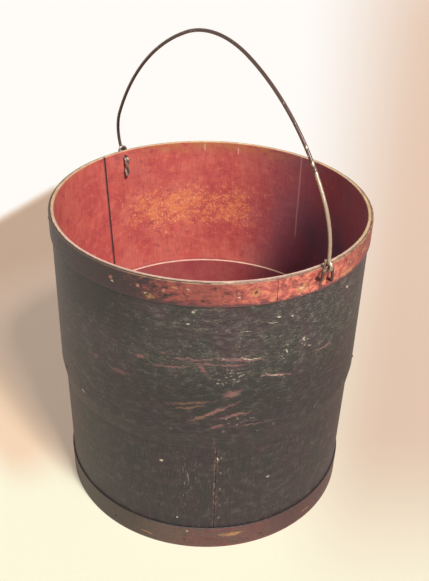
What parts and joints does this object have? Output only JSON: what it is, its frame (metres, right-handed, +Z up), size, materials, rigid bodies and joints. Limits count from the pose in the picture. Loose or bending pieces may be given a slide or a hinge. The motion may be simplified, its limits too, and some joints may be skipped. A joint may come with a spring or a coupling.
{
  "type": "pail",
  "caption": "Round bentwood pail in two lapped tiers with rim and foot hoops, a board floor, wire ears and a swinging wire bail",
  "frame": {"origin": "centre of the foot, on the surface that the pail stands on", "axes": "+Z up along the pail's axis; +X towards the front ear, along the bail's hinge line; +Y to its left"},
  "size_m": [0.3238, 0.3007, 0.4603],
  "materials": {
    "painted_wood": "old dark paint, worn",
    "painted_hoop": "old red paint, worn",
    "floor_wood": "old red paint over bare wood",
    "iron_wire": "dark iron with brown rust",
    "iron_tack": "dark iron, painted over in part"
  },
  "bodies": {
    "pail": {"lower_wall": "painted_wood", "upper_wall": "painted_wood", "rim_hoop": "painted_hoop", "bottom_hoop": "painted_hoop", "floor_board_front": "floor_wood", "floor_board_rear": "floor_wood", "ear_front": "iron_wire", "ear_rear": "iron_wire", "rim_tacks": "iron_tack", "overlap_tacks": "iron_tack", "lower_seam_tacks": "iron_tack", "upper_seam_tacks": "iron_tack", "bottom_hoop_tacks": "iron_tack", "floor_nails": "iron_tack"},
    "bail": {"bail": "iron_wire"}
  },
  "joints": [
    {"name": "bail_swing", "type": "hinge", "parent": "pail", "child": "bail", "pos_m": [0, 0, 0.3026], "axis": [1, 0, 0], "range_deg": [-87, 87]}
  ]
}
